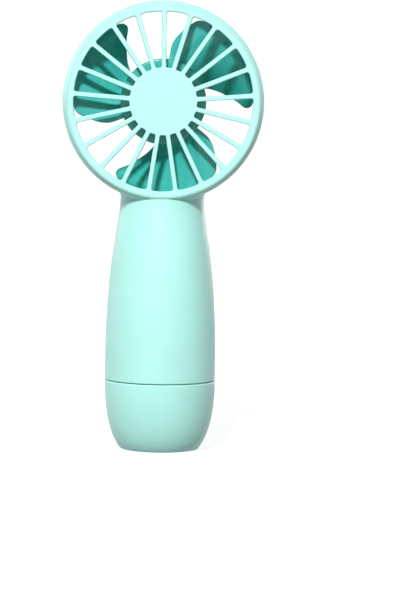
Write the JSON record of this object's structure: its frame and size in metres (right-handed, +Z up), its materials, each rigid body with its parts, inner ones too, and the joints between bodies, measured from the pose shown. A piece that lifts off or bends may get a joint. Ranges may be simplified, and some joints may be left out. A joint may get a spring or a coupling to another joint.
{
  "type": "handheld electric fan",
  "caption": "Pocket electric fan with a drum head, radial front grille and open-backed impeller on a swelling round grip with a screw-off battery cap.",
  "frame": {"origin": "centre of the foot pad's underside, on the grip's axis", "axes": "+Z up along the grip, -Y out of the front grille, where the air leaves, +X to the right seen from the front"},
  "size_m": [0.072, 0.0402, 0.162],
  "materials": {
    "mint_shell": "fine satin moulded plastic, mint green",
    "teal_blades": "glossy moulded plastic, dark teal",
    "steel": "plain steel",
    "magnet": "dull dark sintered metal",
    "brass": "turned brass",
    "copper_wire": "enamelled copper winding",
    "circuit_board": "solder mask",
    "black_plastic": "matt black",
    "red_insulation": "wire insulation",
    "white_plastic": "natural white moulded plastic",
    "cell_sleeve": "shrink sleeve over a metal can",
    "soft_rubber": "soft matt silicone",
    "clear_plastic": "frosted clear plastic",
    "button_plastic": "satin moulded plastic, mint green"
  },
  "bodies": {
    "handle": {"front_housing": "mint_shell", "rear_housing": "mint_shell", "front_grille": "mint_shell", "motor_bracket": "mint_shell", "rear_hub_cap": "mint_shell", "button_bezel": "mint_shell", "bearing_tube": "brass", "front_bearing": "steel", "rear_bearing": "steel", "stator_core": "magnet", "motor_board": "circuit_board", "motor_lead_red": "red_insulation", "motor_lead_black": "black_plastic", "battery_cradle": "white_plastic", "battery_cell": "cell_sleeve", "top_contact": "steel", "ground_strip": "steel", "threaded_collar": "white_plastic", "cap_seal": "soft_rubber", "control_board": "circuit_board", "board_screw_1": "steel", "board_screw_2": "steel", "charge_chip": "black_plastic", "boost_inductor": "magnet", "charge_socket": "steel", "status_led_1": "white_plastic", "status_led_2": "white_plastic", "status_led_3": "white_plastic", "light_pipe": "clear_plastic", "tact_switch": "black_plastic", "housing_screw_1": "steel", "housing_screw_2": "steel", "housing_screw_3": "steel", "stator_coil_1": "copper_wire", "stator_coil_2": "copper_wire", "stator_coil_3": "copper_wire", "stator_coil_4": "copper_wire", "stator_coil_5": "copper_wire", "stator_coil_6": "copper_wire"},
    "rotor": {"impeller": "teal_blades", "rotor_can": "steel", "magnet_ring": "magnet", "motor_shaft": "steel", "retaining_clip": "steel"},
    "power_button": {"power_button": "button_plastic"},
    "cap_contact": {"contact_plate": "steel", "battery_spring": "steel"},
    "cap": {"bottom_cap": "mint_shell", "foot_pad": "soft_rubber"}
  },
  "joints": [
    {"name": "impeller_spin", "type": "hinge", "parent": "handle", "child": "rotor", "pos_m": [0, 0, 0.126], "axis": [0, -1, 0], "continuous": true},
    {"name": "power_button_press", "type": "slide", "parent": "handle", "child": "power_button", "axis": [0, -1, 0], "range_m": [0, 0.0006], "stiffness_N_per_m": 2500},
    {"name": "cap_travel", "type": "slide", "parent": "handle", "child": "cap_contact", "axis": [0, 0, -1], "range_m": [0, 0.006]},
    {"name": "cap_unscrew", "type": "hinge", "parent": "cap_contact", "child": "cap", "pos_m": [0, 0, 0], "axis": [0, 0, -1], "range_deg": [0, 360]}
  ],
  "couplings": [
    {"joint": "cap_travel", "follows": "cap_unscrew", "m_per_rad": 0.00095492}
  ]
}
